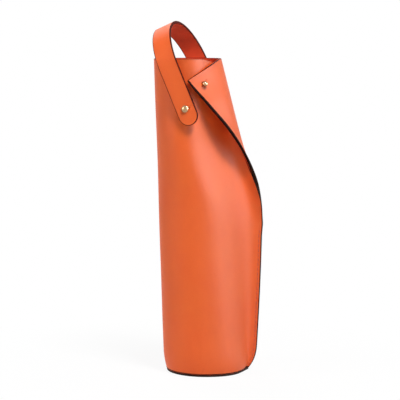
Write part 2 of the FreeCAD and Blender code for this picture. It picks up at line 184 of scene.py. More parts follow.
def along_stations(values, place):
    # Cubic curve through the stations, with slopes taken from the neighbours.
    places = np.array(station_shares)
    values = np.array(values)
    gaps = np.diff(places)
    rises = np.diff(values) / gaps
    inner = (rises[:-1] * gaps[1:] + rises[1:] * gaps[:-1]) / (gaps[1:] + gaps[:-1])
    slopes = np.concatenate([rises[:1], inner, rises[-1:]])
    i = np.clip(np.searchsorted(places, place, side="right") - 1, 0, len(gaps) - 1)
    step = gaps[i]
    t = np.clip((place - places[i]) / step, 0, 1)
    return ((2 * t**3 - 3 * t**2 + 1) * values[i] + (t**3 - 2 * t**2 + t) * step * slopes[i]
            + (3 * t**2 - 2 * t**3) * values[i + 1] + (t**3 - t**2) * step * slopes[i + 1])


def pair(x, y):
    return np.stack(np.broadcast_arrays(x, y), axis=-1)


def heading(turn):
    return pair(np.cos(np.radians(turn)), np.sin(np.radians(turn)))


def corner_share(height):
    return np.maximum(0, 1 - height / corner_cut_height)**corner_power


def seam_edge(height):
    reach = seam_reach - seam_flare * np.maximum(0, 1 - height / seam_height)**1.5
    reach = reach - paint_depth * np.clip((seam_height - height) / paint_ease, 0, 1)
    return reach - corner_cut * corner_share(height)


def section(height):
    # The sheet's outer curve at each height, front end to left side to fold, and last the flap's curve.
    height = np.asarray(height, float)
    low = height <= seam_height
    place = np.clip((height - seam_height) / (body_height - seam_height), 0, 1)
    share = np.clip(height / seam_height, 0, 1)
    tuck = tuck_in * np.maximum(0, 1 - (height - sole_thickness) / tuck_height)**2

    def at(values):
        return along_stations(values, place)

    def grown(start, values):
        return np.where(low, start + (values[0] - start) * share, at(values))

    left = -(base_radius + rim_lean * height / body_height) + tuck
    middle = -grown(0.0, middle_shares) * base_radius
    fore_middle = -grown(0.0, fore_middle_shares) * base_radius
    depth = grown(1.0, depth_shares) * base_radius - tuck
    fore_depth = grown(1.0, fore_depth_shares) * base_radius - tuck
    fold_x = np.where(low, seam_edge(height), seam_reach + (fold_top_reach - seam_reach) * place)
    fold = pair(fold_x, fold_fore)
    front = pair(fold_x - at(front_back_shares) * base_radius,
                 -fold_fore - at(front_fore_shares) * base_radius)
    edge = pair(fold_x - at(edge_back_shares) * base_radius,
                fold_fore - at(edge_fore_shares) * base_radius - at(edge_rise_shares) * flap_rise)
    back_way = heading(at(fold_turns))
    front_way = heading(at(front_turns))
    edge_way = heading(at(edge_turns))
    reach = grown(base_reach_share, reach_shares)
    draw = grown(base_draw_share, draw_shares) * base_radius
    front_reach = grown(base_reach_share, front_reach_shares)
    root = root_draw_share * smooth(np.clip(height / root_height, 0, 1)) * (1 - share)
    front_draw = (grown(base_draw_share, front_draw_shares) + root) * base_radius
    flat = (flat_edge - corner_draw * corner_share(height))[..., None]
    back_bend = fold - back_way * flat
    front_bend = front - front_way * flat
    side = pair(left, 0)
    back = pair(middle, depth)
    fore = pair(fore_middle, -fore_depth)
    round_x = pair(round_share * (middle - left), 0)
    fore_round_x = pair(round_share * (fore_middle - left), 0)
    round_y = pair(0, round_share * depth)
    fore_round_y = pair(0, round_share * fore_depth)
    span = edge - fold
    back_pull = flap_draw_share * np.abs((span * back_way).sum(-1))[..., None]
    edge_pull = flap_draw_share * np.abs((span * edge_way).sum(-1))[..., None]
    return [
        [front, front_bend],
        [front_bend, front_bend - front_way * front_draw[..., None],
         fore + pair(front_reach * (front_bend[..., 0] - fore_middle), 0), fore],
        [fore, fore - fore_round_x, side - fore_round_y, side],
        [side, side + round_y, back - round_x, back],
        [back, back + pair(reach * (back_bend[..., 0] - middle), 0),
         back_bend - back_way * draw[..., None], back_bend],
        [back_bend, fold],
        [fold, fold + back_way * back_pull, edge - edge_way * edge_pull, edge]]


def on_curve(points, t):
    # Places on a run of curves, and the way into the leather there.
    t = np.asarray(t, float)[..., None]
    if len(points) == 2:
        place = points[0] * (1 - t) + points[1] * t
        way = (points[1] - points[0]) + 0 * t
    else:
        a, b, c, d = points
        place = a * (1 - t)**3 + b * 3 * t * (1 - t)**2 + c * 3 * t**2 * (1 - t) + d * t**3
        way = (b - a) * (1 - t)**2 + (c - b) * 2 * t * (1 - t) + (d - c) * t**2
    way = unit(way)
    return place, np.stack([way[..., 1], -way[..., 0]], axis=-1)


def sheet(height, columns):
    # Outer places and inward ways of the sheet for a grid of heights, one column for each curve and share.
    place = np.zeros(height.shape + (2,))
    inward = np.zeros(height.shape + (2,))
    curves = np.array([curve for curve, share in columns])
    shares = np.array([share for curve, share in columns])
    for curve in sorted(set(curves)):
        here = curves == curve
        part = height[:, here]
        points = section(part)[curve]
        place[:, here], inward[:, here] = on_curve(points, np.broadcast_to(shares[here], part.shape))
    return place, inward


def run_along(place):
    # How far each column lies from the first one, along the sheet.
    steps = np.linalg.norm(np.diff(place, axis=1), axis=-1)
    return np.concatenate([np.zeros((len(place), 1)), np.cumsum(steps, axis=1)], axis=1)


def layer(place, inward, height, depth):
    return np.concatenate([place + inward * depth, height[..., None]], axis=-1)


def plain_mesh(name, verts, faces):
    mesh = bpy.data.meshes.new(name)
    mesh.from_pydata([tuple(v) for v in verts], [], faces)
    mesh.validate()
    return mesh


def face_outwards(mesh):
    shape = bmesh.new()
    shape.from_mesh(mesh)
    bmesh.ops.recalc_face_normals(shape, faces=shape.faces)
    shape.to_mesh(mesh)
    shape.free()


def piece(name, mesh, material):
    # A finished piece with smooth faces and crisp corners.
    mesh.materials.clear()
    mesh.materials.append(material)
    mesh.polygons.foreach_set("use_smooth", [True] * len(mesh.polygons))
    mesh.set_sharp_from_angle(angle=crisp_angle)
    mesh.name = name
    thing = bpy.data.objects.new(name, mesh)
    scene.collection.objects.link(thing)
    return thing


def note_edges(mesh, near):
    # How near each place is to an edge, for the wear.
    attribute = mesh.attributes.get("edge_near") or mesh.attributes.new("edge_near", "FLOAT", "POINT")
    attribute.data.foreach_set("value", np.asarray(near, np.float32).ravel())


def shell(name, outer, inner, near, material):
    # A closed leather layer between two grids of the same size.
    rows, cols = outer.shape[:2]
    verts = np.concatenate([outer.reshape(-1, 3), inner.reshape(-1, 3)])
    count = rows * cols
    grid = np.arange(count).reshape(rows, cols)
    quads = np.stack([grid[:-1, :-1], grid[1:, :-1], grid[1:, 1:], grid[:-1, 1:]], axis=-1).reshape(-1, 4)
    both = np.stack([quads, count + quads[:, ::-1]], axis=1).reshape(-1, 4)
    rim = np.concatenate([grid[:, 0], grid[-1, 1:], grid[-2::-1, -1], grid[0, -2:0:-1]])
    beside = np.roll(rim, -1)
    sides = np.stack([beside, rim, count + rim, count + beside], axis=-1)
    faces = np.concatenate([both, sides]).tolist()
    mesh = plain_mesh(name, verts, faces)
    note_edges(mesh, np.concatenate([near.ravel(), near.ravel()]))
    return piece(name, mesh, material)


def turned(name, profile, origin, way, material, around):
    # A piece turned about its own axis from radius and rise pairs, closed on the axis at both ends.
    rings = []
    verts = []
    spin = Vector((0, 0, 1)).rotation_difference(way).to_matrix()
    for radius, rise in profile:
        count = around if radius > 1e-7 else 1
        rings.append([len(verts) + k % count for k in range(around + 1)])
        for k in range(count):
            angle = 2 * math.pi * k / around
            verts.append(origin + spin @ Vector((radius * math.cos(angle), radius * math.sin(angle), rise)))
    faces = []
    for low, high in zip(rings, rings[1:]):
        for k in range(around):
            faces.append(list(dict.fromkeys([low[k], low[k + 1], high[k + 1], high[k]])))
    return piece(name, plain_mesh(name, verts, faces), material)


def from_corner(radius, rise, steps):
    # Profile places given in millimetres from one corner.
    return [(radius + a * mm, rise + b * mm) for a, b in steps]


# Node helpers
def feed(tree, slot, value):
    # A socket takes a link from another node, or a plain value.
    if isinstance(value, bpy.types.NodeSocket):
        tree.links.new(value, slot)
    else:
        slot.default_value = value


def new_node(tree, kind, inputs=(), **settings):
    # A node with its settings made first, then its inputs by name or number.
    node = tree.nodes.new(kind)
    for name, value in settings.items():
        setattr(node, name, value)
    for name, value in dict(inputs).items():
        feed(tree, node.inputs[name], value)
    return node


def calc(tree, operation, *values):
    return new_node(tree, "ShaderNodeMath", enumerate(values), operation=operation).outputs[0]


def vector_calc(tree, operation, a, b):
    second = "Scale" if operation == "SCALE" else 1
    return new_node(tree, "ShaderNodeVectorMath", {0: a, second: b}, operation=operation).outputs[0]


def noise(tree, place, scale, detail=2.0, roughness=0.5):
    values = {"Vector": place, "Scale": scale, "Detail": detail, "Roughness": roughness}
    return new_node(tree, "ShaderNodeTexNoise", values).outputs


def mix(tree, factor, a, b):
    return new_node(tree, "ShaderNodeMix", {"Factor": factor, 6: a, 7: b}, data_type="RGBA").outputs[2]


def remap(tree, value, low, high):
    node = new_node(tree, "ShaderNodeMapRange", {"Value": value, "To Min": low, "To Max": high})
    return node.outputs["Result"]


def object_place(tree):
    return new_node(tree, "ShaderNodeTexCoord").outputs["Object"]


def new_tree(name, kind, inputs, outputs):
    # An empty node group with its named sockets, where it starts and where it ends.
    tree = bpy.data.node_groups.new(name, kind)
    for title, socket, value in inputs:
        made = tree.interface.new_socket(name=title, in_out="INPUT", socket_type="NodeSocket" + socket)
        if value is not None:
            made.default_value = value
    for title, socket in outputs:
        tree.interface.new_socket(name=title, in_out="OUTPUT", socket_type="NodeSocket" + socket)
    return tree, tree.nodes.new("NodeGroupInput").outputs, tree.nodes.new("NodeGroupOutput").inputs


def colour(text):
    # A colour written as the eye sees it, turned to light values.
    parts = [int(text[i:i + 2], 16) / 255 for i in (0, 2, 4)]
    return [p / 12.92 if p <= 0.04045 else ((p + 0.055) / 1.055)**2.4 for p in parts] + [1.0]


def grain_group():
    # Leather grain: pebbles with creases between them, and a broad mottle.
    tree, start, end = new_tree(
        "leather grain", "ShaderNodeTree", [("Place", "Vector", None), ("Pebbles per metre", "Float", 1100)],
        [("Height", "Float"), ("Crease", "Float"), ("Mottle", "Float")])
    place = start["Place"]
    pebbles = start["Pebbles per metre"]
    warp = noise(tree, place, 260)["Color"]
    bent = new_node(tree, "ShaderNodeVectorMath", {0: warp, 1: (1.6 * mm,) * 3, 2: place},
                    operation="MULTIPLY_ADD").outputs[0]
    cells = new_node(tree, "ShaderNodeTexVoronoi", {"Vector": bent, "Scale": pebbles},
                     feature="DISTANCE_TO_EDGE").outputs["Distance"]
    crease = new_node(tree, "ShaderNodeMapRange", {"Value": cells, "From Max": 0.22},
                      interpolation_type="SMOOTHSTEP").outputs["Result"]
    fine = noise(tree, place, calc(tree, "MULTIPLY", pebbles, 1.7), 4)["Fac"]
    height = calc(tree, "MULTIPLY_ADD", crease, 0.6, calc(tree, "MULTIPLY", fine, 0.4))
    feed(tree, end["Height"], height)
    feed(tree, end["Crease"], crease)
    feed(tree, end["Mottle"], noise(tree, place, 26, 5, 0.62)["Fac"])
    return tree


def wear_group():
    # Edge wear: how far a place is handled and rubbed, from its nearness to an edge, in fine patches.
    tree, start, end = new_tree(
        "edge wear", "ShaderNodeTree", [("Place", "Vector", None), ("Amount", "Float", 0.5)],
        [("Wear", "Float")])
    near = new_node(tree, "ShaderNodeAttribute", attribute_name="edge_near").outputs["Fac"]
    patches = calc(tree, "MULTIPLY_ADD", noise(tree, start["Place"], 150, 3)["Fac"], 0.7, 0.65)
    rubbed = calc(tree, "MULTIPLY", near, patches)
    feed(tree, end["Wear"], calc(tree, "MULTIPLY", rubbed, start["Amount"]))
    return tree


leather_grain = grain_group()
edge_wear = wear_group()


def new_material(name):
    material = bpy.data.materials.new(name)
    material.use_nodes = True
    tree = material.node_tree
    return material, tree, tree.nodes["Principled BSDF"]


def raise_surface(tree, shader, height, strength, depth):
    node = new_node(tree, "ShaderNodeBump", {"Height": height, "Strength": strength, "Distance": depth})
    feed(tree, shader.inputs["Normal"], node.outputs["Normal"])


def hide_material(name, tones, worn, pebbles, bump, rough, wear, gloss):
    # Leather: two tones in a broad mottle, dark creases in the grain, and edges rubbed to another tone.
    material, tree, shader = new_material(name)
    place = object_place(tree)
    grain = new_node(tree, "ShaderNodeGroup", {"Place": place, "Pebbles per metre": pebbles},
                     node_tree=leather_grain).outputs
    rub = new_node(tree, "ShaderNodeGroup", {"Place": place, "Amount": wear},
                   node_tree=edge_wear).outputs["Wear"]
    ground, mottle, crease = [colour(tone) for tone in tones]
    body = mix(tree, remap(tree, grain["Mottle"], -0.6, 1.6), ground, mottle)
    creased = mix(tree, remap(tree, grain["Crease"], 0.16, 0.0), body, crease)
    feed(tree, shader.inputs["Base Color"], mix(tree, rub, creased, colour(worn)))
    rough_here = remap(tree, grain["Mottle"], *rough)
    polished = calc(tree, "SUBTRACT", rough_here, calc(tree, "MULTIPLY", rub, 0.12))
    feed(tree, shader.inputs["Roughness"], polished)
    shader.inputs["Specular IOR Level"].default_value = gloss
    raise_surface(tree, shader, grain["Height"], bump, 0.25 * mm)
    return material


def brass_material():
    # Satin pale brass with small stains and a fine cast skin.
    material, tree, shader = new_material("satin pale brass")
    place = object_place(tree)
    stains = noise(tree, place, 420, 5)["Fac"]
    feed(tree, shader.inputs["Base Color"], mix(tree, stains, colour("9c7e5c"), colour("c6a680")))
    feed(tree, shader.inputs["Roughness"], remap(tree, stains, 0.16, 0.34))
    shader.inputs["Metallic"].default_value = 1.0
    raise_surface(tree, shader, noise(tree, place, 2600)["Fac"], 0.06, 0.1 * mm)
    return material


def thread_material():
    # Waxed thread with a twist along its length.
    material, tree, shader = new_material("waxed seam thread")
    twist = new_node(tree, "ShaderNodeTexWave", {"Vector": object_place(tree), "Scale": 620},
                     bands_direction="DIAGONAL").outputs["Fac"]
    feed(tree, shader.inputs["Base Color"], mix(tree, twist, colour("b43c1c"), colour("d0522a")))
    shader.inputs["Roughness"].default_value = 0.55
    raise_surface(tree, shader, twist, 0.5, 0.1 * mm)
    return material


# Hides: ground, mottle and crease tones, worn tone, pebbles per metre, bump, roughness range, wear and gloss
leather = hide_material("orange satin leather", ("e65e24", "ea6626", "c44a1e"), "cc5020",
                        1250, 0.2, (0.48, 0.56), 0.4, 0.28)
suede = hide_material("red orange lining", ("ee4e26", "f45a30", "c43e1c"), "d04620",
                      2100, 0.4, (0.72, 0.86), 0.35, 0.2)
paint = hide_material("dark edge paint", ("1c0d08", "26130d", "120805"), "301a12",
                      700, 0.12, (0.5, 0.6), 0.0, 0.03)
fine_paint = hide_material("brown edge paint", ("4a140c", "581a10", "360e08"), "641f14",
                           700, 0.12, (0.5, 0.6), 0.0, 0.03)
sole_leather = hide_material("dark sole leather", ("1c0e08", "28150d", "120805"), "3a2016",
                             900, 0.4, (0.55, 0.7), 0.4, 0.08)
board_fibre = hide_material("pressed fibre board", ("8a7458", "a08a6a", "6e5a42"), "b09a78",
                            1600, 0.4, (0.8, 0.92), 0.3, 0.5)
brass = brass_material()
thread = thread_material()


def named_arrow(tree, name):
    node = new_node(tree, "GeometryNodeInputNamedAttribute", {"Name": name}, data_type="FLOAT_VECTOR")
    return node.outputs["Attribute"]


def close_tree(tree, geometry, material, end):
    # The last nodes of a tree: real geometry with its material.
    real = new_node(tree, "GeometryNodeRealizeInstances", {"Geometry": geometry}).outputs["Geometry"]
    dressed = new_node(tree, "GeometryNodeSetMaterial", {"Geometry": real, "Material": material})
    feed(tree, end, dressed.outputs["Geometry"])


def swept_band_tree():
    # A closed band along a path: each path point carries its half width and half thickness as two arrows.
    tree, start, end = new_tree(
        "swept band", "GeometryNodeTree",
        [("Path", "Geometry", None), ("Around", "Int", 24), ("Corner power", "Float", 1.0),
         ("Finish", "Material", None)], [("Band", "Geometry")])
    path = start["Path"]
    around = start["Around"]
    count = new_node(tree, "GeometryNodeAttributeDomainSize", {"Geometry": path}).outputs["Point Count"]
    grid = new_node(tree, "GeometryNodeMeshGrid", {"Vertices X": count, "Vertices Y": around}).outputs["Mesh"]
    index = new_node(tree, "GeometryNodeInputIndex").outputs["Index"]
    step = calc(tree, "FLOOR", calc(tree, "DIVIDE", index, around))
    share = calc(tree, "DIVIDE", calc(tree, "MODULO", index, around), calc(tree, "SUBTRACT", around, 1.0))
    angle = calc(tree, "MULTIPLY", share, 2 * math.pi)

    def at_step(field):
        return new_node(tree, "GeometryNodeSampleIndex", {"Geometry": path, "Value": field, "Index": step},
                        data_type="FLOAT_VECTOR").outputs[0]

    def rounded(operation):
        raw = calc(tree, operation, angle)
        power = calc(tree, "POWER", calc(tree, "ABSOLUTE", raw), start["Corner power"])
        return calc(tree, "MULTIPLY", calc(tree, "SIGN", raw), power)

    middle = at_step(new_node(tree, "GeometryNodeInputPosition").outputs["Position"])
    wide = vector_calc(tree, "SCALE", at_step(named_arrow(tree, "half_width")), rounded("COSINE"))
    thick = vector_calc(tree, "SCALE", at_step(named_arrow(tree, "half_thickness")), rounded("SINE"))
    place = vector_calc(tree, "ADD", middle, vector_calc(tree, "ADD", wide, thick))
    moved = new_node(tree, "GeometryNodeSetPosition", {"Geometry": grid, "Position": place})
    weld = new_node(tree, "GeometryNodeMergeByDistance",
                    {"Geometry": moved.outputs["Geometry"], "Distance": 0.002 * mm})
    close_tree(tree, weld.outputs["Geometry"], start["Finish"], end["Band"])
    return tree


def stitch_tree():
    # Arched stitches of thread set on points, each lying along the seam with a slight lean of its own.
    tree, start, end = new_tree(
        "seam stitches", "GeometryNodeTree",
        [("Points", "Geometry", None), ("Stitch length", "Float", 4.2 * mm),
         ("Thread radius", "Float", 0.45 * mm), ("Arch", "Float", 1.1 * mm), ("Lean", "Float", 0.12),
         ("Seed", "Int", 7), ("Finish", "Material", None)], [("Stitches", "Geometry")])
    radius = start["Thread radius"]
    half = calc(tree, "MULTIPLY", start["Stitch length"], 0.5)
    sunk = calc(tree, "MULTIPLY", radius, -1.1)

    def joined(x, z):
        return new_node(tree, "ShaderNodeCombineXYZ", {"X": x, "Z": z}).outputs[0]

    bow = new_node(tree, "GeometryNodeCurveQuadraticBezier",
                   {"Resolution": 6, "Start": joined(calc(tree, "MULTIPLY", half, -1.0), sunk),
                    "Middle": joined(0.0, start["Arch"]), "End": joined(half, sunk)}).outputs["Curve"]
    ring = new_node(tree, "GeometryNodeCurvePrimitiveCircle", {"Resolution": 6, "Radius": radius})
    bar = new_node(tree, "GeometryNodeCurveToMesh",
                   {"Curve": bow, "Profile Curve": ring.outputs["Curve"], "Fill Caps": True})
    lay = new_node(tree, "FunctionNodeAlignRotationToVector", {"Vector": named_arrow(tree, "face_way")},
                   axis="Z")
    along = new_node(tree, "FunctionNodeAlignRotationToVector",
                     {"Rotation": lay.outputs["Rotation"], "Vector": named_arrow(tree, "seam_way")},
                     axis="X", pivot_axis="Z")
    chance = new_node(tree, "FunctionNodeRandomValue", {2: 0.4, 3: 1.6, "Seed": start["Seed"]},
                      data_type="FLOAT")
    lean = joined(0.0, calc(tree, "MULTIPLY", chance.outputs[1], start["Lean"]))
    turn = new_node(tree, "FunctionNodeEulerToRotation", {0: lean}).outputs[0]
    tilt = new_node(tree, "FunctionNodeRotateRotation",
                    {"Rotation": along.outputs["Rotation"], "Rotate By": turn}, rotation_space="LOCAL")
    put = new_node(tree, "GeometryNodeInstanceOnPoints",
                   {"Points": start["Points"], "Instance": bar.outputs["Mesh"],
                    "Rotation": tilt.outputs["Rotation"]})
    close_tree(tree, put.outputs["Instances"], start["Finish"], end["Stitches"])
    return tree


swept_band = swept_band_tree()
seam_stitches = stitch_tree()


def evaluated_mesh(thing):
    # The plain mesh that a piece's modifiers give.
    bpy.context.view_layer.update()
    return bpy.data.meshes.new_from_object(thing.evaluated_get(bpy.context.evaluated_depsgraph_get()))


def grown_mesh(tree, name, points, arrows, values, material):
    # The plain mesh that a tree grows from points with arrows on them.
    seed = plain_mesh(name, points, [])
    for title, ways in arrows.items():
        attribute = seed.attributes.new(title, "FLOAT_VECTOR", "POINT")
        attribute.data.foreach_set("vector", np.asarray(ways, np.float32).ravel())
    carrier = bpy.data.objects.new(name + "_path", seed)
    scene.collection.objects.link(carrier)
    modifier = carrier.modifiers.new("grow", "NODES")
    sockets = {s.name: s.identifier for s in tree.interface.items_tree if s.in_out == "INPUT"}
    modifier.node_group = tree
    for title, value in values.items():
        modifier[sockets[title]] = value
    modifier[sockets["Finish"]] = material
    grown = evaluated_mesh(carrier)
    drop([carrier])
    face_outwards(grown)
    for title in arrows:
        if title in grown.attributes:
            grown.attributes.remove(grown.attributes[title])
    return grown


def band(name, points, wide, thick, material, around=20, power=0.55, closed=False):
    # A swept band: a closed one ends where it starts, an open one narrows to nothing at both ends.
    runs = [np.asarray(run, float) for run in (points, wide, thick)]
    if closed:
        runs = [np.concatenate([run, run[:1]]) for run in runs]
    else:
        nothing = np.zeros((1, 3))
        runs = [np.concatenate([runs[0][:1], runs[0], runs[0][-1:]])] + [
            np.concatenate([nothing, run, nothing]) for run in runs[1:]]
    mesh = grown_mesh(swept_band, name, runs[0], {"half_width": runs[1], "half_thickness": runs[2]},
                      {"Around": around + 1, "Corner power": power}, material)
    return piece(name, mesh, material)


def cut(thing, cutters):
    # Cuts holes in a finished piece.
    for cutter in cutters:
        modifier = thing.modifiers.new("hole", "BOOLEAN")
        modifier.operation = "DIFFERENCE"
        modifier.solver = "EXACT"
        modifier.object = cutter
    cut_mesh = evaluated_mesh(thing)
    thing.modifiers.clear()
    old = thing.data
    material = old.materials[0]
    thing.data = cut_mesh
    bpy.data.meshes.remove(old)
    cut_mesh.materials.clear()
    cut_mesh.materials.append(material)
    cut_mesh.name = thing.name


def drop(things):
    for thing in things:
        mesh = thing.data
        bpy.data.objects.remove(thing)
        bpy.data.meshes.remove(mesh)


def settle(thing, body, slot, *nodes):
    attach(thing, body)
    if nodes:
        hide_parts(*nodes)


def two_layers(name, place, inward, height, near):
    # The leather skin of a sheet, and the suede lining under it.
    skin = shell(name + "_leather", layer(place, inward, height, 0),
                 layer(place, inward, height, skin_thickness), near, leather)
    lining = shell(name + "_suede", layer(place, inward, height, skin_thickness + layer_gap),
                   layer(place, inward, height, wall_thickness), near, suede)
    return skin, lining


def middle_grid(place, inward, height):
    # The middle of the sheet's thickness, and the ways through it.
    through = np.concatenate([inward, np.zeros(inward.shape[:2] + (1,))], axis=-1)
    return layer(place, inward, height, wall_thickness / 2), through


def edge_path(middle, through, cells, share=1.0):
    # Path, half width and half thickness of a painted edge over grid cells with their ways out of the sheet.
    points = np.array([middle[i, j] + out * layer_gap for i, j, out in cells])
    wide = np.array([through[i, j] * edge_half * share for i, j, out in cells])
    thick = np.array([out * edge_proud for i, j, out in cells])
    return points, wide, thick


def way_out(middle, cell, beside):
    return unit(middle[cell] - middle[beside])


# The body's sheet, from the front panel's end round the left side to the fold
columns = [(0, t) for t in (0.0, 0.1, 0.25, 0.38, 0.5, 0.62, 0.78)]
strip = len(columns)
for curve, steps in ((1, 44), (2, 30), (3, 30), (4, 44)):
    columns += [(curve, k / steps) for k in range(steps)]
columns += [(5, t) for t in (0.0, 0.22, 0.38, 0.5, 0.62, 0.75, 0.9, 1.0)]
level_runs = ((sole_thickness, 30 * mm, 14), (30 * mm, 140 * mm, 28), (140 * mm, 230 * mm, 35),
              (230 * mm, body_height, 33))
levels = [np.linspace(low, high, steps, endpoint=False) for low, high, steps in level_runs]
levels = np.concatenate(levels + [[body_height]])


def column_tops():
    # Height of the rim at each column: level, but dipping to the right along the front panel.
    tops = np.full(len(columns), body_height)
    front = np.array([curve < 2 for curve, share in columns])
    for _ in range(40):
        x = sheet(tops[None, :], columns)[0][0, :, 0] - dip_start
        lower = body_height - dip_slope * 0.5 * (x + np.sqrt(x**2 + dip_round**2))
        tops = np.where(front, np.minimum(lower, body_height), tops)
    return tops


tops = column_tops()
above = np.maximum(0, levels - even_height)[:, None]
heights = (levels[:, None] - above) + above * ((tops - even_height) / (body_height - even_height))[None, :]
place, inward = sheet(heights, columns)
run = run_along(place)
whole = run[:, -1:]
from_ends = np.minimum(run, whole - run)

# The panels pass the top of the seam without a crease, and only the seam's own strip keeps its turn there
pull = np.exp(-((levels[:, None] - levels[None, :]) / ease_reach)**2) * np.gradient(levels)[None, :]
pull = pull / pull.sum(axis=1, keepdims=True)
ease = smooth(np.clip((from_ends - ease_start) / ease_width, 0, 1))
ease = ease * np.exp(-((levels - seam_height) / ease_height)**2)[:, None]
place = place + ease[..., None] * (np.einsum("ik,kjc->ijc", pull, place) - place)
inward = unit(inward + ease[..., None] * (np.einsum("ik,kjc->ijc", pull, inward) - inward))

# Soft waves in the panels, and the groove that the stitches pull into the seam
calm = smooth(np.clip(from_ends / calm_width, 0, 1)) * np.clip(heights / calm_height, 0, 1)
wave = sum(size * np.sin(2 * math.pi * (turns * run / whole + heights / length) + start)
           for size, turns, length, start in waves) * calm
strip_shares = np.array([t if curve == 0 else 1 - t for curve, t in columns])
on_strip = np.array([curve in (0, 5) for curve, t in columns])
groove = groove_depth * on_strip * np.exp(-(strip_shares - 0.5)**2 / groove_spread)
groove = groove[None, :] * np.clip((seam_height - heights) / groove_fade, 0, 1)
place = place + inward * (groove - wave)[..., None]

to_back_tip = np.where(heights < seam_height, whole - run, 1.0)
rim_distance = np.minimum(np.minimum(run, to_back_tip), tops[None, :] - heights)
near = np.exp(-(rim_distance / edge_wear_width)**2)
body_leather, body_suede = two_layers("body", place, inward, heights, near)
settle(body_leather, "body", "leather", "body_panel")
settle(body_suede, "body", "lining", "body_lining")

# Dark paint on the body's cut edges: the seam's two edges with their feet, the wall's foot, and the rim
middle, through = middle_grid(place, inward, heights)
down = np.array([0.0, 0.0, -1.0])
last_row = len(levels) - 1
last_column = len(columns) - 1
all_columns = range(last_column + 1)
seam_rows = [i for i in range(1, len(levels)) if levels[i] <= seam_height + 1 * mm]
seam_bulge = (2.2 + 0.8 * np.clip(levels / seam_height, 0, 1)
              - 1.8 * np.clip((levels - seam_height) / (20 * mm), 0, 1))
front_foot = range(strip, 0, -1)
back_foot = range(last_column - strip, last_column)
for name, tip, foot, rows in (("front_seam_paint", 0, front_foot, range(1, len(levels))),
                              ("back_seam_paint", last_column, back_foot, seam_rows)):
    beside = foot[-1]
    cells = [(0, j, down * foot_bulge) for j in foot]
    cells.append((0, tip, unit(down + way_out(middle, (0, tip), (0, beside))) * foot_bulge))
    cells += [(i, tip, way_out(middle, (i, tip), (i, beside)) * seam_bulge[i]) for i in rows]
    settle(band(name, *edge_path(middle, through, cells), paint), "body", "sole")
foot_line = middle[:1] + foot_rise * (middle[1:2] - middle[:1])
cells = [(0, j, way_out(middle, (0, j), (1, j)) * foot_bulge) for j in all_columns]
settle(band("foot_paint", *edge_path(foot_line, through, cells, foot_share), paint), "body", "sole")
cells = [(last_row, j, way_out(middle, (last_row, j), (last_row - 1, j))) for j in all_columns]
settle(band("rim_paint", *edge_path(middle, through, cells, fine_share), fine_paint), "body", "sole")

# The closure flap, folded over from the back
tip = 40
top = 83
flap_columns = [(6, k / tip) for k in range(tip + 1)]
flap_tops = np.full(len(flap_columns), body_height)
for _ in range(60):
    x = sheet(flap_tops[None, :], flap_columns)[0][0, :, 0]
    flap_tops = 0.5 * flap_tops + 0.5 * (body_height - flap_drop * np.maximum(0, fold_top_reach - x))
flap_share = np.linspace(0, 1, top + 1)
flap_heights = flap_foot + flap_share[:, None] * (flap_tops[None, :] - flap_foot)
flap_place, flap_inward = sheet(flap_heights, flap_columns)
flap_run = run_along(flap_place)
to_edge = np.minimum(flap_run[:, -1:] - flap_run, flap_tops[None, :] - flap_heights)
flap_near = np.exp(-(to_edge / edge_wear_width)**2)
flap_leather, flap_lining = two_layers("flap", flap_place, flap_inward, flap_heights, flap_near)
middle, through = middle_grid(flap_place, flap_inward, flap_heights)
flap_bulge = 2.8 + 2.8 * np.sin(math.pi * np.clip((flap_share - 0.08) / 0.94, 0, 1))**0.6
cells = [(i, tip, way_out(middle, (i, tip), (i, tip - 1)) * flap_bulge[i]) for i in range(top + 1)]
line, wide, thick = [np.concatenate([part[:1], part]) for part in edge_path(middle, through, cells)]
line[0] += down * flap_edge_drop
flap_edge = band("flap_edge_paint", line, wide, thick, paint)
cells = [(top, j, way_out(middle, (top, j), (top - 1, j))) for j in range(tip, -1, -1)]
flap_top_edge = band("flap_top_paint", *edge_path(middle, through, cells, fine_share), fine_paint)

# Buttonhole in the flap: a round hole with a slit that runs up to the right
closure_side = Vector((-closure_way.y, closure_way.x, 0))
slit_way = (closure_side + Vector((0, 0, 1))).normalized()
slit_across = slit_way.cross(closure_way)


def ring_faces(count, rings):
    # Faces between rings that have the same count of points.
    return [[a + k, a + count + k, a + count + (k + 1) % count, a + (k + 1) % count]
            for a in range(0, (rings - 1) * count, count) for k in range(count)]


def keyhole_cutter():
    # A round bar with a thin blade beside it, through the flap at the stud.
    half_slit = slit_width / 2
    start = math.asin(half_slit / flap_hole_radius)
    turns = [start + (2 * math.pi - 2 * start) * k / 24 for k in range(25)]
    outline = [(flap_hole_radius * math.cos(turn), flap_hole_radius * math.sin(turn)) for turn in turns]
    slit = [flap_hole_radius + slit_length * k / 6 for k in range(1, 7)]
    outline += [(a, -half_slit) for a in slit] + [(a, half_slit) for a in reversed(slit)]
    count = len(outline)
    verts = [closure + closure_way * depth + slit_way * a + slit_across * b
             for depth in (0.5 * mm, 12 * mm) for a, b in outline]
    faces = [list(range(count)), list(range(2 * count - 1, count - 1, -1))] + ring_faces(count, 2)
    cutter = piece("cutter", plain_mesh("cutter", verts, faces), paint)
    face_outwards(cutter.data)
    return cutter


cutter = keyhole_cutter()
cut(flap_leather, [cutter])
cut(flap_lining, [cutter])
drop([cutter])
for thing, slot in ((flap_leather, "leather"), (flap_lining, "lining"),
                    (flap_edge, "sole"), (flap_top_edge, "sole")):
    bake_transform(thing)
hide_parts("closure_flap")
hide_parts("closure_flap_lining")

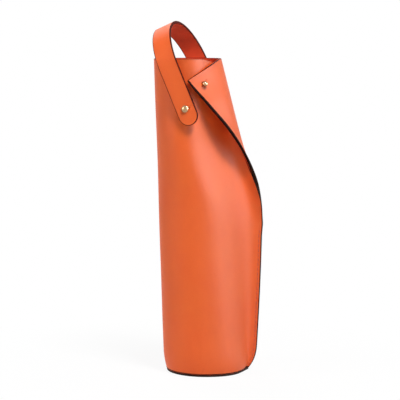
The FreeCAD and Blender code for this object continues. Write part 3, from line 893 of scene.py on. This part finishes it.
# Stitches down both faces of the side seam
stitch_heights = np.arange(stitch_low, seam_height - stitch_top_drop, stitch_pitch)
stitch_x = seam_edge(stitch_heights) - stitch_inset
stitch_turn = unit(np.stack([np.gradient(stitch_x, stitch_heights), 0 * stitch_x, 1 + 0 * stitch_x], axis=-1))
stitch_sides = [(side, k) for side in (-1, 1) for k in range(len(stitch_heights))]
points = [(stitch_x[k], side * (fold_fore - stitch_sink), stitch_heights[k]) for side, k in stitch_sides]
seam_ways = [stitch_turn[k] for side, k in stitch_sides]
face_ways = [(0, side, 0) for side, k in stitch_sides]
stitches = grown_mesh(seam_stitches, "side_seam_stitches", points,
                      {"seam_way": seam_ways, "face_way": face_ways},
                      {"Stitch length": 4.3 * mm, "Thread radius": 0.36 * mm, "Arch": 0.95 * mm,
                       "Lean": 0.1, "Seed": 7}, thread)
settle(piece("side_seam_stitches", stitches, thread), "body", "thread", "side_seam_thread")

# Base pieces under and inside the body
base_steps = 26
base_columns = [(0, 0.0)]
for curve in (1, 2, 3, 4):
    base_columns += [(curve, k / base_steps) for k in range(base_steps)]
base_columns += [(4, 1.0), (5, 1.0)]
base_place, base_inward = sheet(np.full((1, len(base_columns)), sole_thickness), base_columns)
base_outline = base_place[0] + base_inward[0] * sole_inset


def filled(outline):
    # The outline with its hollows filled by straight lines.
    kept = []
    for point in outline:
        while len(kept) > 1:
            first = kept[-1] - kept[-2]
            second = point - kept[-1]
            if first[0] * second[1] - first[1] * second[0] < 0:
                break
            kept.pop()
        kept.append(point)
    return np.array(kept)


def disc(name, outline, foot, profile, material):
    # A flat piece with a rounded edge: each step is how far in from the outline and how high, in mm.
    middle = outline.mean(axis=0)
    reach = np.linalg.norm(outline - middle, axis=-1).max()
    verts = []
    count = len(outline)
    for inset, rise in profile:
        for x, y in middle + (outline - middle) * (1 - inset * mm / reach):
            verts.append((x, y, foot + rise * mm))
    faces = ring_faces(count, len(profile))
    faces.append(list(range(count)))
    faces.append(list(range(len(verts) - 1, len(verts) - count - 1, -1)))
    mesh = plain_mesh(name, verts, faces)
    face_outwards(mesh)
    insets = np.repeat([inset * mm for inset, rise in profile], count)
    note_edges(mesh, np.exp(-(insets / disc_wear_width)**2))
    return piece(name, mesh, material)


sole = disc("sole_leather", filled(base_outline), 0,
            [(20, 0), (3, 0), (1.1, 0), (0.45, 0.12), (0.12, 0.4), (0, 0.8), (0, 1.7), (0.1, 2.1), (0.3, 2.3),
             (0.6, 2.4), (3, 2.4), (20, 2.4)], sole_leather)
settle(sole, "body", "sole", "base_sole")
ring_turns = np.linspace(0, 2 * math.pi, 96, endpoint=False)
lining_radius = base_radius - tuck_in - wall_thickness - base_fit
base_suede = disc("base_suede", lining_radius * pair(np.cos(ring_turns), np.sin(ring_turns)), board_top,
                  [(15, 0), (2, 0), (0.2, 0.05), (0, 0.4), (0.1, 0.9), (0.5, 1.14), (1.2, 1.2), (4, 1.2),
                   (15, 1.2)], suede)
settle(base_suede, "body", "lining", "base_lining")

# The strap handle: a flat loop that leans to the left
axis_side = Vector((axis_way.y, -axis_way.x, 0))
leg_way = Vector((0, 0, 1)) * math.cos(handle_lean) - axis_side * math.sin(handle_lean)
width_way = axis_way.cross(leg_way)
tail_steps = 16
leg_steps = 20
loop_steps = 60


def strap_run(radius):
    # Path of one strap layer at a distance from the loop's middle, its outward ways and its half widths.
    half = strap_width / 2
    leg = [half * (1 - math.cos(k / tail_steps * math.pi / 2)) - strap_tail for k in range(1, tail_steps + 1)]
    leg += [leg[-1] + (strap_leg - leg[-1]) * k / leg_steps for k in range(1, leg_steps + 1)]
    leg_widths = [math.sqrt(half**2 - max(0.0, half - (rise + strap_tail))**2) for rise in leg]
    turns = [math.pi * k / loop_steps for k in range(1, loop_steps)]
    loop_ways = [(math.cos(turn), math.sin(turn)) for turn in turns]
    points = [(radius, rise) for rise in leg]
    points += [(radius * a, strap_leg + radius * b) for a, b in loop_ways]
    points += [(-radius, rise) for rise in reversed(leg)]
    ways = [(1, 0)] * len(leg) + loop_ways + [(-1, 0)] * len(leg)
    widths = leg_widths + [half] * len(turns) + leg_widths[::-1]
    middle = np.array([pivot + axis_way * a + leg_way * b for a, b in points])
    outs = np.array([axis_way * a + leg_way * b for a, b in ways])
    return middle, outs, np.array(widths)


def strap_band(name, low, high, material):
    middle, outs, widths = strap_run((low + high) / 2)
    across = np.array(width_way)[None, :] * widths[:, None]
    thing = band(name, middle, across, outs * (high - low) / 2, material, around=40, power=0.16)
    offsets = (np.array([v.co for v in thing.data.vertices]) - np.array(pivot)) @ np.array(width_way)
    note_edges(thing.data, np.exp(-((strap_width / 2 - np.abs(offsets)) / strap_wear_width)**2))
    return thing


def barrel_cutter(way):
    radius = barrel_radius + hole_fit
    length = 60 * mm
    return turned("cutter", [(0, 0), (radius, 0), (radius, length), (0, length)], pivot, way, paint, 32)


cutters = [barrel_cutter(axis_way), barrel_cutter(-axis_way)]
strap_leather = strap_band("strap_leather", strap_start + strap_lining + layer_gap, strap_end, leather)
strap_suede = strap_band("strap_suede", strap_start, strap_start + strap_lining, suede)
cut(strap_leather, cutters)
cut(strap_suede, cutters)
drop(cutters)
settle(strap_leather, "handle", "leather", "handle_strap")
settle(strap_suede, "handle", "lining", "handle_strap_lining")

# Dark paint round the strap's edge, up one side and down the other
middle, outs, widths = strap_run((strap_start + strap_end) / 2)
lines = []
lines_out = []
for sign in (1, -1):
    line = middle + np.array(width_way)[None, :] * (sign * widths)[:, None]
    lines.append(line[::sign])
    lines_out.append((unit(np.cross(unit(np.gradient(line, axis=0)), outs)) * -sign)[::sign])
rim_line = np.concatenate(lines)
rim_out = np.concatenate(lines_out)
rim_ways = np.concatenate([outs, outs[::-1]])
strap_half = (strap_end - strap_start) / 2 + 0.04 * mm
strap_edge = band("strap_edge_paint", rim_line - rim_out * 0.1 * mm, rim_ways * strap_half,
                  rim_out * 0.42 * mm, fine_paint, closed=True)
settle(strap_edge, "handle", "sole")

# Pivot studs and the leather spacers under the strap
stud_foot = wall_span - stud_depth
head = cap_start + cap_rim
sphere = (cap_radius**2 + cap_dome**2) / (2 * cap_dome)
cap_profile = [(0, stud_foot), (barrel_radius, stud_foot), (barrel_radius, cap_start),
               (cap_radius - dome_inset, cap_start)]
for k in range(1, 5):
    turn = k * math.pi / 8
    cap_profile.append((cap_radius - cap_round * (1 - math.sin(turn)),
                        cap_start + cap_round * (1 - math.cos(turn))))
cap_profile += from_corner(cap_radius, head, [(0, -0.2), (-0.06, -0.05), (-0.22, 0.03)])
for k in range(1, 15):
    radius = (cap_radius - dome_inset) * (1 - k / 14)
    cap_profile.append((radius, head + math.sqrt(sphere**2 - radius**2) - (sphere - cap_dome)))
low = wall_span - spacer_depth
high = strap_start - spacer_gap
join = (low + high) / 2 + 0.6 * mm
spacer_profile = [(barrel_radius + layer_gap, low), (spacer_radius, low)]
spacer_profile += from_corner(spacer_radius, join,
                              [(0, -0.3), (-0.12, -0.1), (-0.2, 0), (-0.12, 0.1), (0, 0.3)])
spacer_profile += from_corner(spacer_radius, high, [(0, -0.4), (-0.12, -0.12), (-0.4, 0)])
spacer_profile += [(barrel_radius + layer_gap, high), (barrel_radius + layer_gap, low)]
for name, way in (("front", -axis_way), ("rear", axis_way)):
    cap = turned(name + "_brass_cap", cap_profile, pivot, way, brass, 56)
    settle(cap, "body", "brass", name + "_stud_cap")
    spacer = turned(name + "_leather_spacer", spacer_profile, pivot, way, sole_leather, 48)
    settle(spacer, "body", "sole", name + "_spacer")

# Closure stud with its ball
profile = [(0, -stud_depth), (neck_radius, -stud_depth), (neck_radius, -0.3 * mm)]
profile += from_corner(flange_radius, 0, [(-0.1, -0.3), (0, -0.1)])
profile += from_corner(flange_radius, flange_thickness, [(0, -0.3), (-0.1, -0.1), (-0.3, 0)])
profile += from_corner(neck_radius, flange_thickness, [(0.5, 0), (0.12, 0.12), (0, 0.5)])
start = math.asin(neck_radius / ball_radius)
for k in range(24):
    turn = start + (math.pi - start) * k / 24
    profile.append((ball_radius * math.sin(turn), ball_rise - ball_radius * math.cos(turn)))
profile.append((0.0, ball_rise + ball_radius))
ball = turned("closure_ball_stud", profile, closure, closure_way, brass, 48)
settle(ball, "body", "brass", "closure_stud")

# Finishes of the solid parts that stay
fixings = ("front_washer", "front_screw", "rear_washer", "rear_screw", "closure_washer", "closure_screw")
for name, material in [(name, brass) for name in fixings] + [("base_board", board_fibre)]:
    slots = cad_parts[name].data.materials
    slots.clear()
    slots.append(material)


# Floor, light and camera
def in_view(tree):
    # Where the camera, a reflection or a clear piece looks at the background.
    path = new_node(tree, "ShaderNodeLightPath").outputs
    mirrored = calc(tree, "MAXIMUM", path["Is Glossy Ray"], path["Is Transmission Ray"])
    return calc(tree, "MAXIMUM", path["Is Camera Ray"], mirrored)


def choose(tree, share, first, second, end):
    chosen = new_node(tree, "ShaderNodeMixShader", {"Fac": share, 1: first, 2: second})
    feed(tree, end.inputs["Surface"], chosen.outputs[0])


floor_level = -0.2 * mm
corners = [(x, y, floor_level) for x, y in ((-4, -4), (4, -4), (4, 4), (-4, 4))]
floor_mesh = plain_mesh("floor", corners, [[0, 1, 2, 3]])
pale_floor, tree, shader = new_material("pale floor")
shader.inputs["Base Color"].default_value = (0.86, 0.86, 0.86, 1)
shader.inputs["Roughness"].default_value = 0.9
shader.inputs["Specular IOR Level"].default_value = 0.1
glow = new_node(tree, "ShaderNodeEmission", {"Color": (1, 1, 1, 1)})
away = new_node(tree, "ShaderNodeVectorMath", {0: object_place(tree)}, operation="LENGTH").outputs["Value"]
fade = new_node(tree, "ShaderNodeMapRange",
                {"Value": away, "From Min": 0.05, "From Max": 0.32, "To Min": 0.92, "To Max": 1.0},
                interpolation_type="SMOOTHSTEP").outputs["Result"]
choose(tree, calc(tree, "MULTIPLY", in_view(tree), fade), shader.outputs[0], glow.outputs[0],
       tree.nodes["Material Output"])
floor_mesh.materials.append(pale_floor)
floor = bpy.data.objects.new("floor", floor_mesh)
scene.collection.objects.link(floor)

world = bpy.data.worlds.new("studio")
world.use_nodes = True
tree = world.node_tree
light = tree.nodes["Background"]
light.inputs["Color"].default_value = (1, 1, 1, 1)
light.inputs["Strength"].default_value = 0.03
white = new_node(tree, "ShaderNodeBackground", {"Color": (1, 1, 1, 1), "Strength": 1.0})
choose(tree, in_view(tree), light.outputs[0], white.outputs[0], tree.nodes["World Output"])
scene.world = world


def lamp(name, place, target, size, power):
    data = bpy.data.lights.new(name, "AREA")
    data.shape = "RECTANGLE"
    data.size, data.size_y = size
    data.energy = power
    thing = bpy.data.objects.new(name, data)
    thing.location = place
    thing.rotation_euler = (Vector(target) - Vector(place)).to_track_quat("-Z", "Y").to_euler()
    scene.collection.objects.link(thing)
    return thing


lamp("front softbox", (0.2, -1.9, 0.7), (0, 0, 0.17), (0.9, 1.0), 0.6)
lamp("top softbox", (0.5, -0.8, 1.62), (0, 0, 0.25), (0.4, 0.4), 30)
lamp("left strip", (-1.4, -0.4, 0.6), (0, 0, 0.17), (0.4, 1.0), 7.5)
lamp("back softbox", (-0.4, 1.0, 1.3), (0, 0, 0.3), (0.8, 0.6), 7)
for place, size, power in (((1.45, -0.3, 0.5), (1.5, 0.5), 32), ((1.1, -1.05, 0.6), (0.9, 0.4), 20)):
    sheen = lamp("sheen strip", place, (0, 0, 0.2), size, power)
    sheen.visible_diffuse = False

camera_data = bpy.data.cameras.new("camera")
camera_data.sensor_width = 36
camera_data.lens = 137.5
camera = bpy.data.objects.new("camera", camera_data)
camera.location = (-0.0063, -1.58, 0.353)
camera.rotation_euler = (math.radians(83.7), 0, 0)
scene.collection.objects.link(camera)
scene.camera = camera
